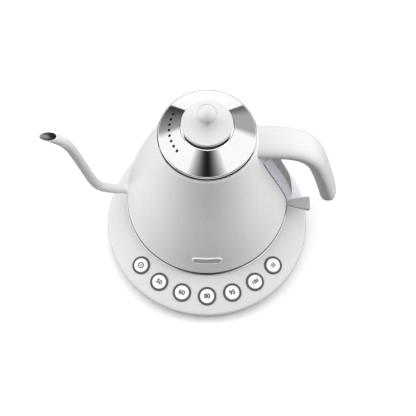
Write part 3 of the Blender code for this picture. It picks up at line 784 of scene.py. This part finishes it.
def gauge():
    """The gauge's rim, pane and marks, which follow the body's taper on the handle side."""
    frame_rings = []
    window_rings = []
    mark_rows = []
    count = 60
    for step in range(count + 1):
        part = step / count
        z = GAUGE_LOW + (GAUGE_HIGH - GAUGE_LOW) * part
        spread = min(1.0, 0.30 + 0.70 * math.sin(min(part / 0.42, 1.0) * math.pi / 2))
        depth = GAUGE_DEPTH * min(1.0, 0.35 + part / 0.12)
        foot = GAUGE_FOOT * (0.55 + 0.45 * spread)
        face = GAUGE_FACE * spread
        window = WINDOW_HALF * spread
        half = [
            (foot, -0.4),
            (foot, 0.5),
            (foot - 0.25, 0.8),
            (foot - (foot - face) * 0.45, depth * 0.5),
            (face + 0.35, depth - 0.5),
            (face, depth - 0.1),
            (face - 0.4, depth),
            (window, depth),
            (window, depth - 1.4),
        ]
        outline = [(-w, d) for w, d in half] + [(w, d) for w, d in reversed(half)]
        outline += [(foot * 0.5, -0.4), (-foot * 0.5, -0.4)]
        frame_rings.append([on_body(z, w, d) for w, d in outline])
        pane = window - 0.12
        across = [pane * (k / 5 - 1) for k in range(11)]
        crown = [(w, depth - 0.15 + 0.4 * (1 - (w / pane) ** 2)) for w in across]
        corners = [(pane, depth - 1.3)] + [(-pane, depth - 1.3)] + crown
        window_rings.append([on_body(z, w, d) for w, d in corners])
        mark_rows.append((z, window, depth))
    rim = lofted(frame_rings)
    sides = len(frame_rings[0])
    rim.faces.index_update()
    # Painted shade: the strips along the rim's foot, against the body, are painted dark grey for the shade
    # where the rim meets the body.
    for face in rim.faces:
        side = face.index % sides
        face.material_index = int(face.index < count * sides and (side < 2 or 16 <= side < 18))
    mats = [LOOKS["gauge_silver"], LOOKS["bezel_grey"]]
    piece("gauge_rim", rim, mats, "kettle", ["gauge_frame"], KETTLE, sharp=30)
    glass = lofted(window_rings[1:-1])
    piece("gauge_pane", glass, LOOKS["gauge_grey"], "kettle", ["gauge_window"], KETTLE)
    marks = bmesh.new()
    for z, long in ((78, 0.34), (94, 0.24), (110, 0.34), (126, 0.24), (142, 0.34)):
        _, window, depth = min(mark_rows, key=lambda row: abs(row[0] - z))
        rings = []
        for k in range(7):
            w = window * (-0.75 + long * 2 * k / 6)
            d = depth - 0.15 + 0.4 * (1 - (w / window) ** 2)
            rings.append([on_body(z + dz, w, d + dd) for dz, dd in MARK_SECTION])
        add_to(marks, lofted(rings))
    piece("gauge_marks", marks, LABEL, "kettle", centre=KETTLE)


def half_width(part):
    """The handle's half width, from its root at 0 to its tip at 1."""
    root, mid, tip = HANDLE_HALF_WIDTH
    if part < 0.5:
        return root + (mid - root) * part * 2
    return mid + (tip - mid) * (part - 0.5) * 2


def handle_slice(low, high, inset, levels):
    """A slice of the handle between two offsets from its centre line."""
    per_span = 8
    line = smooth_line(HANDLE_ROUTE, per_span)
    last = len(line) - 1
    end = line[-1]
    while (line[-1] - end).length < HANDLE_TIP:
        line.pop()
    start = line[-1]
    parts = [index / last for index in range(len(line))]
    closes = [1.0] * len(line)
    line.insert(0, line[0] - (line[1] - line[0]).normalized() * HANDLE_ROOT)
    parts.insert(0, 0.0)
    closes.insert(0, 1.0)
    turns = 14
    for k in range(1, turns + 1):
        angle = math.radians(88.5 * k / turns)
        way = math.sin(angle)
        line.append(start.lerp(end, way))
        parts.append(1.0)
        closes.append(math.cos(angle) ** 0.85)
    normals = line_normals(line)
    sections = []
    for centre, normal, part, close in zip(line, normals, parts, closes):
        side = []
        for level in range(levels + 1):
            up = low + (high - low) * (1 - math.cos(math.pi * level / levels)) / 2
            bulge = (1 - min(abs(up / HANDLE_HALF_DEPTH), 1) ** ROUNDNESS) ** (1 / ROUNDNESS)
            side.append(((half_width(part) * bulge - inset) * close, up * close))
        ring = side + [(-across, up) for across, up in reversed(side)]
        sections.append([(centre.x + normal.x * up, across, centre.y + normal.y * up) for across, up in ring])
    return lofted(sections)


def handle():
    """Grip, seam and liner, one behind the other, cut back to the inside of the body's wall."""
    deep = HANDLE_HALF_DEPTH * 0.9995
    inside = [(0, 140)] + [(r - 0.9, z) for z, r in [tuple(p) for p in BODY_LINE] if z > 140] + [(0, 192)]
    grip_low = SEAM_OFFSET + 0.3
    seam_low, seam_high = SEAM_OFFSET - 0.8, SEAM_OFFSET + 0.32
    liner_high = SEAM_OFFSET - 0.7
    silver, grey = LOOKS["seam_silver"], LOOKS["grey_plastic"]
    slices = (
        ("grip", ["handle_grip", "handle_saddle"], grip_low, deep, 0.0, 24, HANDLE_WHITE, "white_satin"),
        ("seam", ["handle_trim"], seam_low, seam_high, 0.0, 4, silver, "chrome"),
        ("liner", ["handle_liner"], -deep, liner_high, 0.4, 24, grey, "grey_plastic"),
    )
    for name, nodes, low, high, inset, levels, mat, slot in slices:
        part = piece(name, handle_slice(low, high, inset, levels), mat, None, centre=KETTLE)
        cut(part, spun(inside, 128), KETTLE)
        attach(part, "kettle")
        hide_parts(*nodes)


def name_plate():
    """A small blank plate with round ends and a raised border."""
    half, tall, middle_z = PLATE_HALF_WIDTH, PLATE_HALF_HEIGHT, PLATE_MIDDLE
    rings = ((0.0, -0.4), (0.0, 0.9), (0.3, 1.3), (1.1, 1.3), (1.5, 0.9), (1.7, 0.5), (5.5, 0.5))
    quarter = [math.pi / 2 * k / 16 for k in range(17)]
    centre_x = half - tall
    bm = bmesh.new()
    rows = []
    for inset, lift in rings:
        radius = tall - inset
        arc = [(centre_x + radius * math.cos(a), radius * math.sin(a)) for a in quarter]
        straight = [(centre_x * (1 - k / 6), radius) for k in range(1, 12)]
        upper = arc + straight + [(-x, z) for x, z in reversed(arc)]
        row = []
        for x, z in upper + [(x, -z) for x, z in reversed(upper[1:-1])]:
            reach = body_radius(middle_z + z) + lift
            row.append(bm.verts.new(Vector((x, -math.sqrt(reach**2 - x**2), middle_z + z)) * MM))
        rows.append(row)
    count = len(rows[0])
    for index, (low, high) in enumerate(zip(rows, rows[1:])):
        for i in range(count):
            j = (i + 1) % count
            face = bm.faces.new((low[i], low[j], high[j], high[i]))
            face.material_index = int(index >= 4)
    bm.faces.new(rows[0])
    top = rows[-1]
    for i in range(count // 2):
        corners = list(dict.fromkeys((top[i], top[i + 1], top[-i - 1], top[-i % count])))
        if len(corners) > 2:
            bm.faces.new(corners).material_index = 1
    mats = [LOOKS["cap_white"], LOOKS["plate_grey"]]
    piece("front_plate", bm, mats, "kettle", ["name_plate"], KETTLE, sharp=50)


def lever():
    """A paddle that widens outwards, with the hub it turns on."""
    sections = []
    reach = LEVER_END_X - LEVER_PIVOT_X
    outline = (
        (2.0, 2.6, 2.2),
        (9.5, 3.0, 1.9),
        (11.5, 3.6, 2.0),
        (14.0, 4.6, 2.4),
        (24.0, 6.7, 3.0),
        (reach - 2.0, 8.1, 3.4),
    )
    line = [Vector(p) for p in outline]
    fine = []
    for a, b in zip(line, line[1:]):
        fine += [a.lerp(b, k / 6) for k in range(6)]
    for k in range(11):
        angle = math.radians(88 * k / 10)
        along = reach - 2.0 + 2.0 * math.sin(angle)
        wide = 8.1 - 2.2 * (1 - math.cos(angle))
        fine.append(Vector((along, wide, 3.4 * math.cos(angle) ** 0.7)))
    for x, wide, thick in fine:
        drop = -0.10 * max(x - 9.5, 0)
        ring = []
        for step in range(48):
            angle = 2 * math.pi * (step + 0.5) / 48
            across = math.copysign(abs(math.cos(angle)) ** 0.55, math.cos(angle))
            up = math.copysign(abs(math.sin(angle)) ** 0.55, math.sin(angle))
            ring.append((LEVER_PIVOT_X + x, LEVER_Y + wide * across, LEVER_HEIGHT + thick * up + drop))
        sections.append(ring)
    bm = lofted(sections)
    hub = ((1.8, -4), (3.8, -4), (3.8, 4), (1.8, 4))
    boss = spun(filleted(hub, 0.5, 4), SMALL, True)
    boss.transform(shifted(LEVER_PIVOT_X, LEVER_Y, LEVER_HEIGHT, Euler((math.pi / 2, 0, 0))))
    add_to(bm, boss)
    piece("lever_paddle", bm, LOOKS["lever_grey"], "lever", ["switch_lever"], KETTLE, sharp=45)


# ---------------------------------------------------------------------- lid


def lid():
    """The chrome cone with its steam holes, the cap, the knob, and the plug and its seal."""
    rim = (LID_RADIUS - 0.05, LID_RIM + 0.2)
    top = (CONE_TOP_RADIUS, CONE_TOP)
    bead = rounded_corner((rim[0], LID_LOW + 0.2), rim, top, BEAD_RADIUS, 16)
    slope = [bead[-1].lerp(Vector(top), k / 10) for k in range(1, 9)]
    step = (
        slope[-1],
        (*top, 0.5),
        (STEP_RADIUS + 0.25, CONE_TOP + 1.0, 0.5),
        (STEP_RADIUS - 0.5, STEP_TOP, 0.7),
        (24.1, STEP_TOP),
    )
    crown = filleted(step, 0.4, 5, False)
    outer = [Vector((47.0, LID_LOW)), Vector((rim[0] - 0.3, LID_LOW)), Vector((rim[0], LID_LOW + 0.3))]
    outer += bead + slope[:-1] + crown
    inner = [Vector((STEP_RADIUS - 1.1, CONE_TOP)), Vector((46.6, LID_RIM - 0.9))]
    cone = piece("cone", spun(outer + inner, FINE, True), LOOKS["chrome"], None, centre=KETTLE)
    vents = bmesh.new()
    for index in range(VENT_COUNT):
        angle = VENT_MIDDLE + (index - (VENT_COUNT - 1) / 2) * VENT_PITCH
        spot = shifted(VENT_RADIUS * math.cos(angle), VENT_RADIUS * math.sin(angle), 194)
        add_to(vents, rod(VENT_BORE, 14, 24, spot))
    cut(cone, vents, KETTLE)
    rising = [tuple(p) for p in reversed(bead + slope)]
    true_normals(cone, KETTLE, rising)
    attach(cone, "lid")
    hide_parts("lid_cone")
    swell = (
        (CAP_RIM_RADIUS - 0.4, CAP_TOP - 0.1),
        (18.0, 217.3),
        (12.0, 217.7),
        (5.0, 218.1),
        (3.8, 219.4),
        (3.7, 225.2),
    )
    rise = smooth_line(swell, 6)
    cap = [
        (2.2, 212.4),
        (STEP_RADIUS - 1.4, 212.4),
        (STEP_RADIUS - 1.4, 215.6),
        (CAP_RIM_RADIUS + 0.25, 215.7),
        (CAP_RIM_RADIUS + 0.3, 216.2),
        (CAP_RIM_RADIUS + 0.1, 216.7),
        *(tuple(p) for p in rise),
        (2.2, 225.2),
    ]
    piece("lid_disc", spun(cap, ROUND, True), LID_WHITE, "lid", ["lid_cap"], KETTLE)
    low_angle = math.acos(7.7 / KNOB_RADIUS)
    ball = [(0, 232.0), (2.0, 232.0), (2.0, 225.3)]
    for step in range(41):
        angle = low_angle + (math.pi - low_angle) * step / 40
        ball.append((KNOB_RADIUS * math.sin(angle), KNOB_HEIGHT - KNOB_RADIUS * math.cos(angle)))
    piece("knob", spun(ball, 96), LID_WHITE, "lid", ["lid_knob"], KETTLE)
    skirt = (
        (0, 191.6),
        (41.5, 191.6, 0.3),
        (41.5, 176.0, 0.4),
        (43.4, 176.0, 0.4),
        (43.4, 191.4, 0),
        (46.0, 191.4, 0.2),
        (46.0, 192.6, 0.2),
        (0, 192.6),
    )
    turned_piece("plug", "lid_skirt", skirt, 0.3, "black_plastic", "lid", KETTLE, steps=ROUND)
    seal = ((43.7, 185.0), (44.7, 185.8), (44.7, 187.4), (43.7, 188.2))
    turned_piece("plug_seal", "lid_seal", seal, 0.3, "silicone", "lid", KETTLE, True, ROUND)


# ---------------------------------------------------------------- the studio


def world():
    """A white studio with a dark gap in front and a dark flat on each back corner.

    Mirrors see these shapes. Matt surfaces get a softer light, dimmed in front and behind,
    and the camera sees plain white.
    """
    sky = bpy.data.worlds.new("studio")
    bpy.context.scene.world = sky
    sky.use_nodes = True
    tree = sky.node_tree
    back = tree.nodes["Background"]
    place = tree.nodes.new("ShaderNodeTexCoord")
    split = tree.nodes.new("ShaderNodeSeparateXYZ")
    tree.links.new(place.outputs["Generated"], split.inputs[0])

    def math_node(kind, a, b=None, c=None):
        node = tree.nodes.new("ShaderNodeMath")
        node.operation = kind
        for socket, value in zip(node.inputs, (a, b, c)):
            if value is None:
                continue
            if isinstance(value, (int, float)):
                socket.default_value = value
            else:
                tree.links.new(value, socket)
        return node.outputs[0]

    def band(value, low, high, soft_low, soft_high):
        """1 between low and high, falling to 0 over the soft widths."""
        rise = tree.nodes.new("ShaderNodeMapRange")
        rise.interpolation_type = "SMOOTHSTEP"
        rise.inputs["From Min"].default_value = low - soft_low
        rise.inputs["From Max"].default_value = low + soft_low
        tree.links.new(value, rise.inputs["Value"])
        fall = tree.nodes.new("ShaderNodeMapRange")
        fall.interpolation_type = "SMOOTHSTEP"
        fall.inputs["From Min"].default_value = high - soft_high
        fall.inputs["From Max"].default_value = high + soft_high
        fall.inputs["To Min"].default_value = 1.0
        fall.inputs["To Max"].default_value = 0.0
        tree.links.new(value, fall.inputs["Value"])
        return math_node("MULTIPLY", rise.outputs[0], fall.outputs[0])

    def map_range(value, low, high, start, end):
        node = tree.nodes.new("ShaderNodeMapRange")
        for socket, number in zip(("From Min", "From Max", "To Min", "To Max"), (low, high, start, end)):
            node.inputs[socket].default_value = number
        tree.links.new(value, node.inputs["Value"])
        return node.outputs[0]

    def mixed(factor, a, b):
        node = tree.nodes.new("ShaderNodeMix")
        tree.links.new(factor, node.inputs["Factor"])
        for socket, value in zip(("A", "B"), (a, b)):
            if isinstance(value, float):
                node.inputs[socket].default_value = value
            else:
                tree.links.new(value, node.inputs[socket])
        return node.outputs["Result"]

    front = math_node("MULTIPLY", split.outputs["Y"], -1.0)
    side = math_node("ABSOLUTE", split.outputs["X"])
    turn = math_node("MULTIPLY", math_node("ARCTAN2", side, front), 180 / math.pi)
    rise = math_node("MULTIPLY", math_node("ARCSINE", split.outputs["Z"]), 180 / math.pi)

    away = math_node("POWER", map_range(turn, 2, 41, 0, 1), 1.9)
    gap = math_node("MULTIPLY", math_node("SUBTRACT", 1.0, away), band(rise, 27, 64, 4, 8))
    low = math_node("MULTIPLY", band(turn, -1, 66, 0.5, 22), band(rise, -90, 17, 0.5, 4))
    flat = math_node("MULTIPLY", band(turn, 113, 150, 6, 1.2), band(rise, -40, 40, 2, 8))
    deep = map_range(turn, 112, 150, 0.60, 0.985)
    pale = map_range(turn, 138, 150, 0.60, 0.93)
    left = math_node("LESS_THAN", split.outputs["X"], 0.0)
    right = math_node("SUBTRACT", 1.0, left)
    depth = math_node("ADD", math_node("MULTIPLY", deep, left), math_node("MULTIPLY", pale, right))
    shade = math_node("MAXIMUM", math_node("MULTIPLY", gap, 0.985), math_node("MULTIPLY", flat, depth))
    shade = math_node("MAXIMUM", shade, math_node("MULTIPLY", low, 0.96))
    shade = math_node("MAXIMUM", shade, map_range(rise, 66, 82, 0.0, 0.42))
    mirrored = math_node("MULTIPLY", math_node("SUBTRACT", 1.0, shade), MIRROR_STRENGTH)

    dim = math_node("MULTIPLY", band(turn, -1, 66, 0.5, 36), band(rise, -5, 66, 5, 22))
    lit = map_range(rise, 0, 80, SIDE_STRENGTH, TOP_STRENGTH)
    lean = map_range(split.outputs["X"], -1, 1, 1.1, 1.0)
    behind = math_node("MULTIPLY", band(turn, 112, 181, 28, 0.5), band(rise, -90, 48, 0.5, 24))
    dim = math_node("MULTIPLY", dim, FRONT_DIMMING)
    dim = math_node("MAXIMUM", dim, math_node("MULTIPLY", behind, BACK_DIMMING))
    kept = math_node("SUBTRACT", 1.0, dim)
    soft = math_node("MULTIPLY", math_node("MULTIPLY", lit, lean), kept)

    ray = tree.nodes.new("ShaderNodeLightPath")
    strength = mixed(ray.outputs["Is Diffuse Ray"], mirrored, soft)
    strength = mixed(ray.outputs["Is Camera Ray"], strength, 1.0)
    tree.links.new(strength, back.inputs["Strength"])
    back.inputs["Color"].default_value = (1, 1, 1, 1)


def floor():
    """A white table whose bounced light is dark in front of the kettle."""
    mat = finish("pale_floor", (0.98, 0.98, 0.98), 0.9, spread=0.004, grain=40)
    tree = mat.node_tree
    shader = tree.nodes["Principled BSDF"]
    white = shader.inputs["Base Color"].links[0].from_socket
    place = tree.nodes.new("ShaderNodeTexCoord")
    split = tree.nodes.new("ShaderNodeSeparateXYZ")
    tree.links.new(place.outputs["Object"], split.inputs[0])
    bounce = tree.nodes.new("ShaderNodeMapRange")
    for socket, number in zip(("From Min", "From Max", "To Min", "To Max"), FLOOR_BOUNCE):
        bounce.inputs[socket].default_value = number
    tree.links.new(split.outputs["Y"], bounce.inputs["Value"])
    ray = tree.nodes.new("ShaderNodeLightPath")
    mix = tree.nodes.new("ShaderNodeMix")
    mix.data_type = "RGBA"
    tree.links.new(ray.outputs["Is Diffuse Ray"], mix.inputs[0])
    tree.links.new(white, mix.inputs[6])
    tree.links.new(bounce.outputs["Result"], mix.inputs[7])
    tree.links.new(mix.outputs[2], shader.inputs["Base Color"])
    bm = spun(((0, -0.02), (FLOOR_RADIUS, -0.02)), 96)
    stage = piece("floor", bm, mat, None)
    if stage.data.polygons[0].normal.z < 0:
        stage.data.flip_normals()


def mirror_ring():
    """A dark ring on the table which only mirrors see."""
    dark = finish("ring_dark", (0.006, 0.006, 0.006), 1.0, spread=0.0)
    ring = piece("mirror_ring", spun(((BASE_RADIUS + 2, 1), (RING_RADIUS, 1)), 96), dark, None)
    ring.visible_camera = False
    ring.visible_diffuse = False
    ring.visible_shadow = False


def lamp(name, spot, target, size, power):
    """A round soft lamp that mirrors don't see."""
    data = bpy.data.lights.new(name, "AREA")
    data.shape = "DISK"
    data.size = size
    data.energy = power
    obj = bpy.data.objects.new(name, data)
    bpy.context.scene.collection.objects.link(obj)
    obj.location = spot
    obj.rotation_euler = (Vector(target) - Vector(spot)).to_track_quat("-Z", "Y").to_euler()
    obj.visible_glossy = False


def camera():
    target = Vector((BASE[0] * MM, BASE[1] * MM, CAMERA_TARGET_HEIGHT))
    data = bpy.data.cameras.new("camera")
    data.sensor_width = 36.0
    data.lens = CAMERA_LENS
    data.shift_x = CAMERA_SHIFT
    data.clip_end = 20.0
    obj = bpy.data.objects.new("camera", data)
    bpy.context.scene.collection.objects.link(obj)
    back = Vector((0, -math.cos(CAMERA_ELEVATION), math.sin(CAMERA_ELEVATION)))
    obj.location = target + back
    obj.rotation_euler = (-back).to_track_quat("-Z", "Y").to_euler()
    bpy.context.scene.camera = obj


def dress_cad_nodes():
    """Gives each CAD node that still shows the finish of its material slot."""
    short = {
        "base_screw": "steel",
        "control_board": "board_green",
        "keypad_mat": "silicone",
        "power_board": "board_green",
        "power_relay": "black_plastic",
        "spout_strainer": "steel",
        "heating_element": "steel",
        "handle_screw": "steel",
        "lever_pin": "steel",
        "lid_screw": "steel",
    }
    for name, obj in frame["nodes"].items():
        if obj.hide_render:
            continue
        looks = [slot for start, slot in short.items() if name.startswith(start)]
        slot = looks[0] if looks else "steel"
        obj.data.materials.clear()
        obj.data.materials.append(LOOKS[slot])


base_cover()
keypad()
base_hidden()
body_shell()
spout()
kettle_bottom()
gauge()
handle()
name_plate()
lever()
lid()
dress_cad_nodes()
world()
floor()
mirror_ring()
for side, across in (("left", -LAMP_REACH), ("right", LAMP_REACH)):
    lamp(f"{side}_light", (across, -0.05, 0.5), (0, 0, 0.1), LAMP_SIZE, LAMP_POWER)
camera()
bpy.context.scene.view_settings.view_transform = "Standard"
